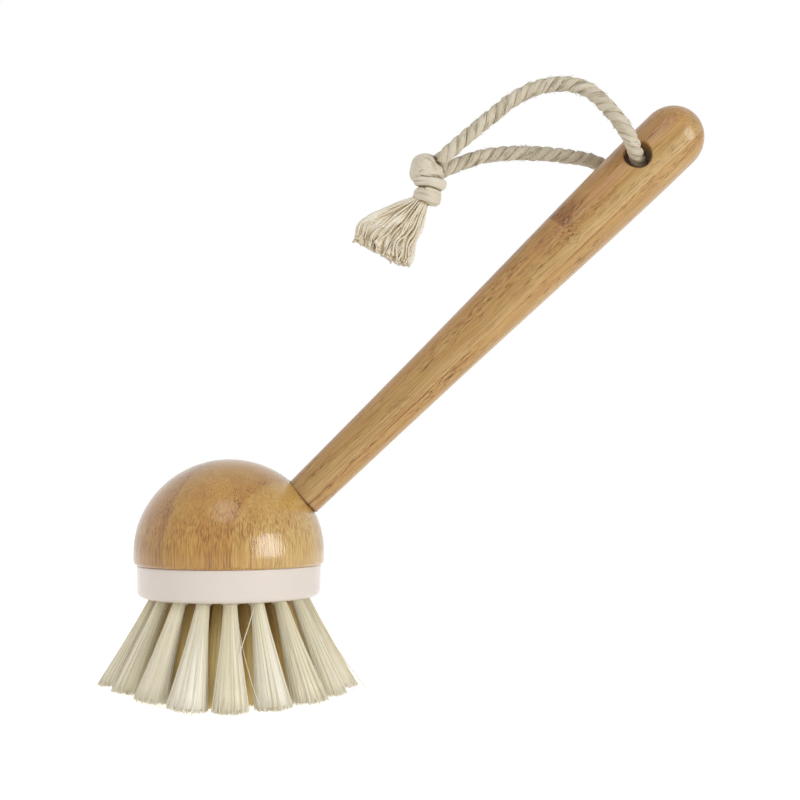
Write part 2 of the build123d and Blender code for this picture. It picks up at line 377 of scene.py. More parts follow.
# Knot
# Both ends of the rope are tied together in one tight overhand knot. Pulled tight, the strands open and
# flatten into a creased ball, with a bulge at its lower right and a broad collar below it.
knot_middle = Vector((62.6, 0.0, 164.6))
knot_turns = [  # name, half width, half depth and route round the knot's middle, in millimetres
    (
        "lower",
        2.0,
        1.5,
        [(-1.8, 3.0, -2.0), (-2.9, 1.0, -2.7), (-2.8, -1.5, -3.2), (-0.7, -2.8, -3.7)]
        + [(2.2, -2.9, -4.3), (4.9, -0.9, -4.5), (3.9, 1.9, -4.1), (1.2, 3.4, -3.0)],
    ),
    (
        "back",
        2.6,
        1.7,
        [(-3.3, 0.6, 2.2), (-2.2, 3.0, 2.0), (0.4, 3.9, 1.2), (2.8, 2.8, -0.4), (4.0, 0.6, -1.0)],
    ),
    (
        "collar",
        2.3,
        1.5,
        [(-1.2, 2.4, -7.3), (-3.1, 0.9, -7.1), (-3.0, -1.5, -7.2), (-0.7, -2.9, -7.9)]
        + [(2.1, -2.1, -8.7), (3.4, 0.2, -8.8), (2.0, 2.2, -8.0), (-0.5, 2.8, -7.4)],
    ),
    (
        "collar_edge",
        0.9,
        0.8,
        [(-0.6, -3.3, -6.0), (1.2, -3.3, -6.5), (3.1, -2.2, -6.9), (4.0, 0.0, -7.0), (2.6, 2.4, -6.6)],
    ),
]
collar_drop = Vector((0, 0, -8.0))  # from the knot's middle to the collar's
turn_step = 0.3 * mm
turn_corners = 54  # round a turn's section
turn_creases = 12
turn_crease_width = 0.15  # radians
ball_radii = (5.3 * mm, 5.0 * mm, 5.4 * mm)
ball_offset = Vector((-0.3, 0, 0.5))
core_radii = (3.1 * mm, 2.8 * mm, 4.0 * mm)
core_offset = Vector((0.6, 0, -5.0))
ball_creases = [  # depth and route as (x, z) in shares of the ball's radius, on the front
    (0.16, [(-0.26, 0.62), (0.11, 0.55), (0.41, 0.28), (0.62, -0.08), (0.71, -0.34)]),
    (0.14, [(0.26, 0.26), (0.44, -0.02), (0.54, -0.3)]),
    (0.1, [(-0.6, -0.1), (-0.3, 0.0)]),
    (0.13, [(-0.56, -0.34), (-0.2, -0.15)]),
    (0.16, [(-0.5, -0.45), (-0.07, -0.6), (0.38, -0.64)]),
    (0.08, [(-0.74, 0.25), (-0.42, 0.62)]),
    (0.08, [(-0.07, -0.31), (0.3, -0.45)]),
    (0.07, [(-0.1, 0.3), (0.14, 0.05)]),
    (0.07, [(0.0, 0.82), (0.4, 0.66)]),
    (0.07, [(-0.36, 0.2), (-0.12, 0.1)]),
]
crease_steps = 6  # between two corners of a crease
crease_depth_share = 0.75  # of the radius, for a crease of depth 1
crease_falloff = 0.005  # squared distance over which a crease fades, in shares of the radius
crease_limit = 0.02  # squared distance beyond which it isn't felt
short_creases = 60
short_crease_step = 0.045
short_crease_depths = (0.07, 0.04)  # on the front and behind


def front_of_ball(x, z):
    """The direction from the ball's middle to a place on its front."""
    return Vector((x, -math.sqrt(1 - x * x - z * z), z))


def turn_swell(share):
    """Size of a turn along it: narrow where it comes out of the knot, and then a little uneven."""
    return 1 - 0.35 * math.exp(-((share / 0.12) ** 2)) + 0.05 * math.sin(share * 14)


knot_random = random.Random(5)
knot_build = bmesh.new()
for turn_name, half_width, half_depth, offsets in knot_turns:
    turn_line = smooth_line([knot_middle + Vector(offset) for offset in offsets], turn_step)
    turn_middle = knot_middle * mm
    if turn_name.startswith("collar"):
        turn_middle = (knot_middle + collar_drop) * mm
    creases = []
    for i in range(turn_creases):
        creases.append(
            (
                2 * math.pi * i / turn_creases + knot_random.uniform(-0.2, 0.2),
                knot_random.choice((0.08, 0.14, 0.2, 0.3)),
                knot_random.gauss(0, 0.9),
                knot_random.random(),
                knot_random.uniform(0.12, 0.4),
            )
        )
    add_band(
        knot_build,
        turn_line,
        [place - turn_middle for place in turn_line],
        half_width=half_width * mm,
        half_depth=half_depth * mm,
        corners=turn_corners,
        crease_width=turn_crease_width,
        creases=creases,
        swell=turn_swell,
    )
ball = bmesh.ops.create_icosphere(knot_build, subdivisions=6, radius=1)["verts"]
crease_places = []
for depth, corners in ball_creases:
    for corner, (start, end) in enumerate(zip(corners, corners[1:])):
        for i in range(crease_steps):
            share = i / crease_steps
            x = start[0] + (end[0] - start[0]) * share
            z = start[1] + (end[1] - start[1]) * share
            way_along = (corner + share) / (len(corners) - 1)
            taper = min(1, 4 * way_along + 0.2, 4 * (1 - way_along))
            crease_places.append((front_of_ball(x, z), depth * taper))
for _ in range(short_creases):
    x, z = knot_random.uniform(-0.7, 0.7), knot_random.uniform(-0.6, 0.6)
    lean = knot_random.uniform(-1.2, 0.4)
    for step in (-2, -1, 0, 1, 2):
        way = step * short_crease_step
        place = front_of_ball(x + way * math.cos(lean), z + way * math.sin(lean))
        place_behind = Vector((-place.x, -place.y, place.z))
        crease_places.append((place, short_crease_depths[0]))
        crease_places.append((place_behind, short_crease_depths[1]))
for vertex in ball:
    direction = vertex.co.normalized()
    deepest = 0.0
    for crease_place, depth in crease_places:
        apart = (direction - crease_place).length_squared
        if apart < crease_limit:
            deepest = max(deepest, depth * math.exp(-apart / crease_falloff))
    swelling = 0.02 * math.sin(3 * direction.x + 5 * direction.z)
    swelling += 0.015 * math.sin(7 * direction.z - 4 * direction.x)
    vertex.co = direction * (1 + swelling - crease_depth_share * deepest)
bmesh.ops.scale(knot_build, verts=ball, vec=ball_radii)
bmesh.ops.translate(knot_build, verts=ball, vec=(knot_middle + ball_offset) * mm)
core = bmesh.ops.create_icosphere(knot_build, subdivisions=4, radius=1)["verts"]
bmesh.ops.scale(knot_build, verts=core, vec=core_radii)
bmesh.ops.translate(knot_build, verts=core, vec=(knot_middle + core_offset) * mm)
knot_mesh = built_mesh("rope_knot", knot_build)
# The crease colour is painted shade.
knot_cotton = undyed_cotton(
    "undyed_cotton_knot", pale="#DBD4C4", deep="#C9BFA8", crease="#94825A", crease_shade_share=0.9
)
knot = add_piece("rope_knot", knot_mesh, "handle_assembly", knot_cotton)
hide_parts("cord_knot")


# Tassel
# Below the knot the rope's ends are untwisted and combed out. They hang together in flat, wavy locks with
# single yarns over them, and their cut ends are uneven.
tassel_left = [(58.9, 0, 156.2), (51.7, 0, 153.6), (44.9, 0, 151.2), (40.1, 0, 147.8), (38.6, 0, 142.8)]
tassel_centre = [(60.6, 0, 156.0), (55.5, 0, 149.7), (50.6, 0, 144.1), (48.0, 0, 140.9), (47.2, 0, 137.9)]
tassel_right = [(62.8, 0, 154.4), (61.4, 0, 148.1), (59.6, 0, 143.1), (58.2, 0, 138.4), (57.3, 0, 133.3)]
tassel_half_depths = [2.4, 2.8, 3.1, 3.4, 3.6]
backing_locks = 7
backing_reach = 0.62  # the outermost one's place across
backing_depth = -0.1
backing_half_width = 2.4 * mm
lock_count = 48
lock_reach = 0.93
broad_lock = (-0.78, -0.3, 2.1 * mm)  # place across, depth and half width of the one at the left
lock_step = 0.6 * mm
lock_corners = 32  # round a lock's section
lock_creases = 11
lock_crease_width = 0.18  # radians
lock_flatness = 0.5
lock_turning = 0.02  # radians from one point to the next
loose_yarns = 50
yarn_step = 0.8 * mm
wave_phases = (15, 12)  # radians from end to end, across the tassel and through it
wave_lag = 1.7  # of the wave through it
diagonal = 0.7  # share of a wave across that goes to the side, and as much downward


def tassel_route(across, depth):
    """The route of a lock or yarn in the tassel, from its place across and through it, from -1 to 1."""
    points = []
    for left, centre, right, half_depth in zip(tassel_left, tassel_centre, tassel_right, tassel_half_depths):
        edge = Vector(left) if across < 0 else Vector(right)
        place = Vector(centre).lerp(edge, abs(across))
        points.append(place + Vector((0, depth * half_depth, 0)))
    return points


def depth_at(across):
    """How deep the tassel is at a place across it, as a share of its depth in the middle."""
    return math.sqrt(max(0.05, 1 - 0.8 * across**2))


def waved(line, length, swings, phase):
    """Waves a line more and more towards its free end, and cuts it to a share of its length. Swings are
    the waves' heights in millimetres across the tassel and through it."""
    kept = max(4, round(length * len(line)))
    waves = []
    for i, place in enumerate(line[:kept]):
        share = i / len(line)
        aside = math.sin(share * wave_phases[0] + phase) * swings[0] * share * mm
        ahead = math.cos(share * wave_phases[1] + phase * wave_lag) * swings[1] * share * mm
        waves.append(place + Vector((aside * diagonal, ahead, -aside * diagonal)))
    return waves


def lock_swell(share, wave):
    """Size of a lock along it: narrow in the knot, full from near its middle on, and a little uneven."""
    return 0.45 + 0.55 * min(1, share * 2.2) + 0.07 * math.sin(share * 11 + wave)


tassel_random = random.Random(23)
tassel_build = bmesh.new()
for lock in range(backing_locks + lock_count):
    if lock < backing_locks:
        across = -backing_reach + 2 * backing_reach * lock / (backing_locks - 1)
        depth = backing_depth
        widest = backing_half_width
    else:
        place_in_row = (lock - backing_locks + tassel_random.uniform(0.25, 0.75)) / lock_count
        across = lock_reach * (-1 + 2 * place_in_row)
        depth = tassel_random.uniform(-0.75, 0.75) * depth_at(across)
        widest = tassel_random.uniform(0.7, 1.5) * mm
    if lock == backing_locks:
        across, depth, widest = broad_lock
    line = waved(
        smooth_line(tassel_route(across, depth), lock_step),
        tassel_random.uniform(0.9, 0.99),
        (tassel_random.uniform(0.3, 0.8), tassel_random.uniform(0.3, 0.8)),
        tassel_random.uniform(0, 2 * math.pi),
    )
    creases = []
    for i in range(lock_creases):
        creases.append(
            (
                2 * math.pi * i / lock_creases + tassel_random.uniform(-0.3, 0.3),
                tassel_random.choice((0.06, 0.1, 0.16)),
                tassel_random.gauss(0, 0.5),
                tassel_random.random(),
                tassel_random.uniform(0.3, 0.9),
            )
        )
    tilt = tassel_random.uniform(-0.7, 0.7)
    wave = tassel_random.uniform(0, 2 * math.pi)
    facing = []
    for i in range(len(line)):
        turned = tilt + lock_turning * i
        facing.append(Vector((math.sin(turned), -math.cos(turned), 0)))
    add_band(
        tassel_build,
        line,
        facing,
        half_width=widest,
        half_depth=widest * lock_flatness,
        corners=lock_corners,
        crease_width=lock_crease_width,
        creases=creases,
        swell=lambda share: lock_swell(share, wave),
    )
tassel_yarns = []
for _ in range(loose_yarns):
    across = tassel_random.uniform(-1, 1)
    depth = tassel_random.choice((-1, -1, 1)) * depth_at(across) * tassel_random.uniform(0.5, 1)
    line = waved(
        smooth_line(tassel_route(across, depth), yarn_step),
        tassel_random.uniform(0.88, 1.0),
        (tassel_random.uniform(0.2, 1.1), tassel_random.uniform(0.2, 0.9)),
        tassel_random.uniform(0, 2 * math.pi),
    )
    thickness = tassel_random.uniform(0.2, 0.4) * mm
    tassel_yarns.append([(place, thickness) for place in line])
tassel_build.from_mesh(tube_mesh("tassel_yarns", tassel_yarns, 1))
tassel_mesh = built_mesh("rope_tassel", tassel_build)
# The crease colour is painted shade.
tassel_cotton = undyed_cotton(
    "combed_cotton_yarn", pale="#E2DBCC", deep="#D2C8B1", crease="#BCA066", crease_shade_share=0.65
)
tassel = add_piece("rope_tassel", tassel_mesh, "handle_assembly", tassel_cotton)
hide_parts("cord_tassel")


# Ball head
# Turned from a block of laminated bamboo with its fibres upright, sanded and varnished. The fibre ends show
# as rows of dark dots over the top and stretch into fine lines down the sides.
dome_lamination_turn = math.radians(-32)  # of the glued strips, seen from above


def vector_maths(tree, operation, *values, output="Vector"):
    """One step of arithmetic on vectors and their sockets."""
    node = add_node(tree, "ShaderNodeVectorMath", dict(enumerate(values)), operation=operation)
    return node.outputs[output]


def placed(tree, vector, location, rotation=(0, 0, 0), scale=(1, 1, 1)):
    """Coordinates as seen from a place that is moved, turned and scaled."""
    inputs = {"Vector": vector, "Location": location, "Rotation": rotation, "Scale": scale}
    return add_node(tree, "ShaderNodeMapping", inputs, vector_type="TEXTURE").outputs["Vector"]


def varnished_bamboo(name, turn, centre, strips, crowding, half_span, gloss, marks, growth_node, foot):
    """Bamboo under clear varnish. Its fibres run along the turned Z axis and its glued strips follow one
    another along the turned X axis, where strips gives the colour and crowding the density of the dark
    fibre bundles at each share of the span. Gloss is the coat's weight and roughness. Marks are the size
    and darkness of the bundles, and the darkness of the short dashes and of the sides' long lines. Round a
    growth node the fibres crook and darken, and glue has stained the wood below the foot."""
    coat_weight, coat_roughness = gloss
    bundle_size, bundle_darkness, dash_darkness, line_darkness = marks
    material, tree = new_material(name)

    def tint(share, hex_colour, base):
        """Multiplies the colour by a tint, as far as a share tells."""
        return mixed_colour(tree, share, base, linear(hex_colour), "MULTIPLY")

    def product(first, second):
        """Two values multiplied."""
        return maths(tree, "MULTIPLY", first, second)

    def stretched(vector, share_along):
        """Coordinates with only a share of their way along the fibres, so that patterns become lines."""
        inputs = {"Vector": vector, "Scale": (1, 1, share_along)}
        return add_node(tree, "ShaderNodeMapping", inputs).outputs["Vector"]

    def spots(vector, size, detail, low, high, most):
        """Noise between two of its levels as a share from nought to the most."""
        return share_of(tree, noise(tree, vector, size, detail), low, high, most)

    place = add_node(tree, "ShaderNodeTexCoord").outputs["Object"]
    grain = placed(tree, place, location=centre, rotation=turn)
    from_node = placed(tree, grain, location=growth_node, scale=(1.7, 3, 1))
    node_distance = vector_maths(tree, "LENGTH", from_node, output="Value")
    near_node = share_of(tree, node_distance, 4.2 * mm, 1 * mm)

    # The fibres sway gently, and crook near the growth node.
    sway = noise(tree, grain, 14 * mm, 1, "Color")
    crook = noise(tree, grain, 2 * mm, 1, "Color")
    crook = add_node(tree, "ShaderNodeVectorMath", {0: crook, "Scale": near_node}, operation="SCALE")
    wavy = vector_maths(tree, "MULTIPLY_ADD", sway, (0.9 * mm, 0.9 * mm, 0), grain)
    wavy = vector_maths(tree, "MULTIPLY_ADD", crook.outputs[0], (1.5 * mm, 1.5 * mm, 0), wavy)

    # The glued strips, mottled and finely lined.
    across = add_node(tree, "ShaderNodeSeparateXYZ", {"Vector": wavy}).outputs["X"]
    span = share_of(tree, across, -half_span, half_span)
    colour = add_node(tree, "ShaderNodeValToRGB", {"Fac": span}, stops=strips).outputs["Color"]
    crowd = add_node(tree, "ShaderNodeValToRGB", {"Fac": span}, stops=crowding).outputs["Color"]
    colour = tint(spots(stretched(wavy, 0.1), 4 * mm, 2, 0.4, 0.7, 0.4), "#DAB98A", colour)
    fibres = noise(tree, stretched(wavy, 0.014), 0.42 * mm, 2)
    colour = tint(share_of(tree, fibres, 0.36, 0.64, 0.6), "#D2B488", colour)

    # Short dark dashes where the bundles are crowded.
    dash_density = product(spots(stretched(wavy, 0.12), 3 * mm, 1, 0.4, 0.62, 1), crowd)
    dashes = spots(stretched(wavy, 0.07), 0.24 * mm, 1, 0.56, 0.6, dash_darkness)
    colour = tint(product(dashes, dash_density), "#936B3C", colour)

    # Fibre bundles, which end as dots where the wood is cut across.
    bundle_inputs = {"Vector": stretched(wavy, 0.014), "Scale": 1 / (0.8 * mm), "Randomness": 0.85}
    bundle = add_node(tree, "ShaderNodeTexVoronoi", bundle_inputs)
    size = product(spots(stretched(wavy, 0.04), 2.5 * mm, 1, 0.35, 0.65, bundle_size), crowd)
    inside = maths(tree, "SUBTRACT", size, bundle.outputs["Distance"])
    level_way = vector_maths(tree, "MULTIPLY", wavy, (1, 1, 0))
    from_axis = vector_maths(tree, "LENGTH", level_way, output="Value")
    on_top = share_of(tree, from_axis, half_span * 0.97, half_span * 0.86)
    bundles = product(share_of(tree, inside, 0, 0.05, bundle_darkness), on_top)
    colour = tint(bundles, "#93693B", colour)

    # Dark and pale lines along the fibres on the sides.
    outward = vector_maths(tree, "NORMALIZE", level_way)
    side_way = (half_span, half_span, 0)
    side_place = vector_maths(tree, "MULTIPLY_ADD", outward, side_way, stretched(grain, 0.03))
    on_side = share_of(tree, from_axis, half_span * 0.84, half_span * 0.95)
    dark_lines = spots(side_place, 0.55 * mm, 2, 0.54, 0.62, line_darkness)
    colour = tint(product(dark_lines, on_side), "#A0713C", colour)
    pale_lines = spots(side_place, 0.8 * mm, 1, 0.45, 0.36, 0.12)
    colour = mixed_colour(tree, product(pale_lines, on_side), colour, linear("#D9B878"))

    # Reddish streaks beyond the growth node and on one side of it, and dark curls in it.
    node_way = add_node(tree, "ShaderNodeSeparateXYZ", {"Vector": from_node}).outputs
    beyond = share_of(tree, node_way["Z"], -0.4 * mm, 0.5 * mm)
    fading = share_of(tree, node_way["Z"], 13 * mm, 2 * mm)
    beside = share_of(tree, node_way["X"], -0.4 * mm, 2.2 * mm)
    beyond = product(product(beyond, fading), beside)
    colour = tint(product(beyond, 0.5), "#B5743F", colour)
    streaks = spots(stretched(wavy, 0.13), 0.4 * mm, 1, 0.5, 0.6, 0.85)
    colour = tint(product(streaks, beyond), "#8A4F26", colour)
    curls = spots(stretched(wavy, 0.4), 0.55 * mm, 1, 0.56, 0.63, 0.7)
    colour = tint(product(curls, near_node), "#86562C", colour)

    # The glue's stain at the foot.
    along = add_node(tree, "ShaderNodeSeparateXYZ", {"Vector": grain}).outputs["Z"]
    colour = tint(share_of(tree, along, foot + 0.4 * mm, foot - 0.2 * mm, 0.8), "#8A5A30", colour)

    relief = maths(tree, "SUBTRACT", fibres, bundles)
    normal = bumped(tree, relief, strength=0.6, distance=0.12 * mm)
    add_surface(
        tree,
        {
            "Base Color": colour,
            "Roughness": 0.38,
            "IOR": 1.45,
            "Specular IOR Level": 0.15,
            "Coat Weight": coat_weight,
            "Coat Roughness": coat_roughness,
            "Coat IOR": 1.56,
            "Normal": normal,
            "Coat Normal": normal,
        },
    )
    return material


def dress_node(name, material):
    """Gives a CAD node its material and keeps its shape."""
    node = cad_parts[name]
    for material_slot in node.material_slots:
        material_slot.material = material


ball_radius = 30 * mm
ball_centre = (0, 0, 43.5 * mm)
dome_bamboo = varnished_bamboo(
    "varnished_bamboo_ball",
    turn=(0, 0, dome_lamination_turn),
    centre=ball_centre,
    strips=[
        (0.0, "#967233"), (0.15, "#A98138"), (0.3, "#B38942"), (0.47, "#B48741"), (0.49, "#A67939"),
        (0.51, "#C09544"), (0.7, "#C29644"), (0.825, "#B88A3E"), (0.84, "#C7A256"), (1.0, "#CFAF6A"),
    ],
    crowding=[
        (0.0, 0.4), (0.38, 0.5), (0.46, 1.2), (0.51, 1.0), (0.56, 0.55), (0.74, 0.6), (0.82, 1.2),
        (0.86, 0.5),
    ],
    half_span=ball_radius,
    gloss=(0.95, 0.115),
    marks=(0.4, 0.75, 0.15, 0.65),
    growth_node=(0, 0, -100 * mm),  # far below the ball, which has no growth node
    foot=-40 * mm,  # below the ball, which has no stain
)
dress_node("head_dome", dome_bamboo)


# Handle
# Turned from a laminated bamboo strip with its fibres along it, tapered to the neck, with a round end and
# a cross hole. One strip shows a growth node, where the fibres crook. Its tenon is glued into the ball.
handle_lean = math.radians(44.2)
handle_axis_drop = 4.65 * mm  # where its axis crosses the head's axis, below the ball's centre
seat_depth = 1.1 * mm
butt_radius = 10.15 * mm
ball_reach = handle_axis_drop * math.sin(handle_lean)
ball_reach += math.sqrt(ball_radius**2 - (handle_axis_drop * math.cos(handle_lean)) ** 2)
handle_direction = Vector((math.cos(handle_lean), 0, math.sin(handle_lean)))
handle_seat = Vector(ball_centre) - Vector((0, 0, handle_axis_drop))
handle_seat += handle_direction * (ball_reach - seat_depth)
strip_lean = math.radians(43.3)  # the strips lie a little askew in the handle
strip_direction = Vector((math.cos(strip_lean), 0, math.sin(strip_lean)))
strip_side = Vector((-math.sin(strip_lean), 0, math.cos(strip_lean)))
strip_axes = Matrix((strip_side, strip_direction.cross(strip_side), strip_direction)).transposed()
handle_bamboo = varnished_bamboo(
    "varnished_bamboo_handle",
    turn=strip_axes.to_euler(),
    centre=handle_seat,
    strips=[
        (0.0, "#BA9658"), (0.2, "#BC9A60"), (0.36, "#BE9A60"), (0.377, "#A9834E"), (0.385, "#C4A670"),
        (0.5, "#B99B64"), (0.62, "#B7975F"), (0.74, "#BD985F"), (0.9, "#B99058"), (1.0, "#B68D54"),
    ],
    crowding=[
        (0.0, 0.45), (0.22, 0.5), (0.28, 1.1), (0.375, 1.2), (0.4, 0.5), (0.55, 0.6), (0.7, 0.85),
        (1.0, 1.0),
    ],
    half_span=butt_radius,
    gloss=(0.5, 0.17),
    marks=(0.22, 0.55, 0.95, 0),
    growth_node=(3.4 * mm, butt_radius, 117 * mm),
    foot=0.7 * mm,
)
dress_node("handle", handle_bamboo)


# Screw insert
# A moulded plastic ring that is glued into the ball's recess. A shallow thread in it takes the plate's
# spigot, so that the head unscrews.
def moulded_plastic(name, colour, roughness, gloss):
    """Injection-moulded polypropylene: even colour, a soft gloss and the faint ripple of its mould."""
    material, tree = new_material(name)
    place = add_node(tree, "ShaderNodeTexCoord").outputs["Object"]
    ripple = noise(tree, place, 3 * mm, 2)
    tone = share_of(tree, ripple, 0, 1, most=1, least=0.985)
    add_surface(
        tree,
        {
            "Base Color": mixed_colour(tree, 1.0, linear(colour), tone, "MULTIPLY"),
            "Roughness": roughness,
            "IOR": 1.49,
            "Specular IOR Level": gloss,
            "Subsurface Weight": 0.05,
            "Subsurface Scale": 1 * mm,
            "Normal": bumped(tree, ripple, strength=0.1, distance=0.02 * mm),
        },
    )
    return material


insert_plastic = moulded_plastic("moulded_insert_plastic", "#D9D2C6", roughness=0.45, gloss=0.4)
dress_node("socket_insert", insert_plastic)
thread_pitch = 2.0 * mm
thread_half_height = 0.45 * mm
steps_in_turn = 96
thread_steps = 144  # one and a half turns
runout_steps = 12


def thread_ridge(name, wall_radius, crest_radius, start_level):
    """A shallow helical ridge of one and a half turns on a wall, running out at both ends."""
    build = bmesh.new()
    rings = []
    for i in range(thread_steps + 1):
        angle = 2 * math.pi * i / steps_in_turn
        height = min(1, (i + 1) / runout_steps, (thread_steps + 1 - i) / runout_steps)
        level = start_level + thread_pitch * i / steps_in_turn
        crest = wall_radius + (crest_radius - wall_radius) * height
        section = ((wall_radius, -thread_half_height), (crest, 0), (wall_radius, thread_half_height))
        ring = []
        for radius, rise in section:
            ring.append(build.verts.new((radius * math.cos(angle), radius * math.sin(angle), level + rise)))
        rings.append(ring)
    join_rings(build, rings)
    return built_mesh(name, build)


insert_ridge = thread_ridge(
    "insert_thread", wall_radius=15.82 * mm, crest_radius=15.57 * mm, start_level=42.3 * mm
)
add_piece("insert_thread", insert_ridge, "handle_assembly", insert_plastic)


# Brush plate
# One cream polypropylene moulding: a shallow drum that carries the tufts, with a collar round each tuft
# hole and a threaded spigot that screws into the ball.
cream_plastic = moulded_plastic("moulded_cream_plastic", "#DBD1C8", roughness=0.2, gloss=0.3)
dress_node("brush_plate", cream_plastic)
spigot_ridge = thread_ridge(
    "spigot_thread", wall_radius=15.43 * mm, crest_radius=15.68 * mm, start_level=41.3 * mm
)
add_piece("spigot_thread", spigot_ridge, "brush_head", cream_plastic)


# Hole collars
# A low raised collar round the mouth of each tuft hole, moulded with the plate. They show as small bumps
# along its lower edge.
bristle_height = 30.2 * mm
tuft_rows = {  # count, circle's radius in mm, tilt and first turn in degrees, and tips' share
    "outer": (18, 23.2, 24.0, 8.7, 2.95),
    "middle": (12, 17.2, 17.5, 28.7, 2.7),
    "inner": (8, 11.1, 12.0, 10.0, 2.3),
    "core": (4, 5.5, 6.5, 45.0, 2.0),
}
centre_tip_share = 1.7  # how wide the tips spread, as a share of the root's width
collar_steps = 36
collar_outline = [(1.98, -0.6), (1.98, 0.45), (2.3, 0.6), (2.62, 0.42), (2.75, -0.6)]  # radius, drop in mm


def tuft_places():
    """Name, circle radius, tilt, turn and tip share of each tuft."""
    for row, (count, circle_radius, tilt, first_turn, tip_share) in tuft_rows.items():
        for i in range(count):
            turn = first_turn + 360 * i / count
            yield f"tuft_{row}_{i + 1:02d}", circle_radius * mm, tilt, turn, tip_share
    yield "tuft_centre", 0, 0, 0, centre_tip_share


collar_build = bmesh.new()
for name, circle_radius, tilt, turn, tip_share in tuft_places():
    angle = math.radians(turn - 90)
    outward = Vector((math.cos(angle), math.sin(angle), 0))
    slope = math.radians(tilt)
    downward = outward * math.sin(slope) - Vector((0, 0, 1)) * math.cos(slope)
    level_side = outward.cross(Vector((0, 0, 1)))
    tilted_side = downward.cross(level_side)
    foot = outward * circle_radius + Vector((0, 0, bristle_height))
    rings = []
    for step in range(collar_steps):
        around = 2 * math.pi * step / collar_steps
        side = level_side * math.cos(around) + tilted_side * math.sin(around)
        ring = []
        for radius, drop in collar_outline:
            ring.append(collar_build.verts.new(foot + side * (radius * mm) + downward * (drop * mm)))
        rings.append(ring)
    join_rings(collar_build, rings, in_loop=True)
collar_mesh = built_mesh("hole_collars", collar_build)
add_piece("hole_collars", collar_mesh, "brush_head", cream_plastic)


# Tufts
# Pale natural fibre, folded over a piece of wire and driven into the plate's holes, so that each tuft
# leaves its hole tightly packed and spreads. Use has worn the trimmed face down at the left.
bristles_in_tuft = {"outer": 540, "middle": 360, "inner": 240, "core": 180, "centre": 180}
packed_radius = 1.9 * mm
bristle_radius = 0.1 * mm
bristle_root = 1.5 * mm
mass_radius = 1.82 * mm  # of the tuft's closed inner mass, which the outer bristles lie on
mass_end = 1.4 * mm  # from the standing level up to the end of that mass
mass_corners = 24
mass_levels = (-0.05, 0, 0.28, 0.56, 0.8, 1)  # as shares of the way to the mass's end
bristle_pieces = 4  # between the root and the tip
bend_spread = 0.22  # millimetres at the tip
tip_spread = 0.4  # millimetres by which the ends are uneven
tuft_drift = 0.45  # millimetres by which a tuft's tips lie to one side
widening_power = 1.25
stray_share = 0.008
stray_bends = (7, 12)  # times as far as the rest, outward and sideways
splay = 1.6  # degrees that use has spread the outer tufts at the left
outer_tilt = tuft_rows["outer"][2]
sprung_tuft = "tuft_outer_02"  # one of its bristles has sprung out to the side
sprung_radius = 0.14 * mm
sprung_route = [(10.9, -22.4, 29.9), (9.6, -26.6, 24.0), (7.2, -31.6, 15.6), (6.0, -34.4, 9.0)]


def tip_level(place):
    """Height of the worn face at a place: flat in the middle, worn away at the left and a little at the
    right."""
    worn_left = min(3.8 * mm, -0.13 * (place.x + 2 * mm))
    worn_right = 0.06 * (place.x - 14 * mm)
    return max(0, worn_left, worn_right)


def natural_fibre(name, deep, pale, root, root_shade_share):
    """Natural bristle fibre: smooth and pale, some paler than others, with painted shade that darkens it
    towards the root.
    """
    material, tree = new_material(name)
    place = add_node(tree, "ShaderNodeTexCoord").outputs["Object"]
    island = add_node(tree, "ShaderNodeNewGeometry").outputs["Random Per Island"]
    colour = mixed_colour(tree, island, linear(deep), linear(pale))
    height = add_node(tree, "ShaderNodeSeparateXYZ", {"Vector": place}).outputs["Z"]
    # Painted shade: the colour turns towards the root colour near the plate.
    painted_root_shade = share_of(tree, height, 13 * mm, bristle_height, root_shade_share)
    colour = mixed_colour(tree, painted_root_shade, colour, linear(root))
    add_surface(tree, {"Base Color": colour, "Roughness": 0.45, "IOR": 1.5, "Specular IOR Level": 0.3})
    return material
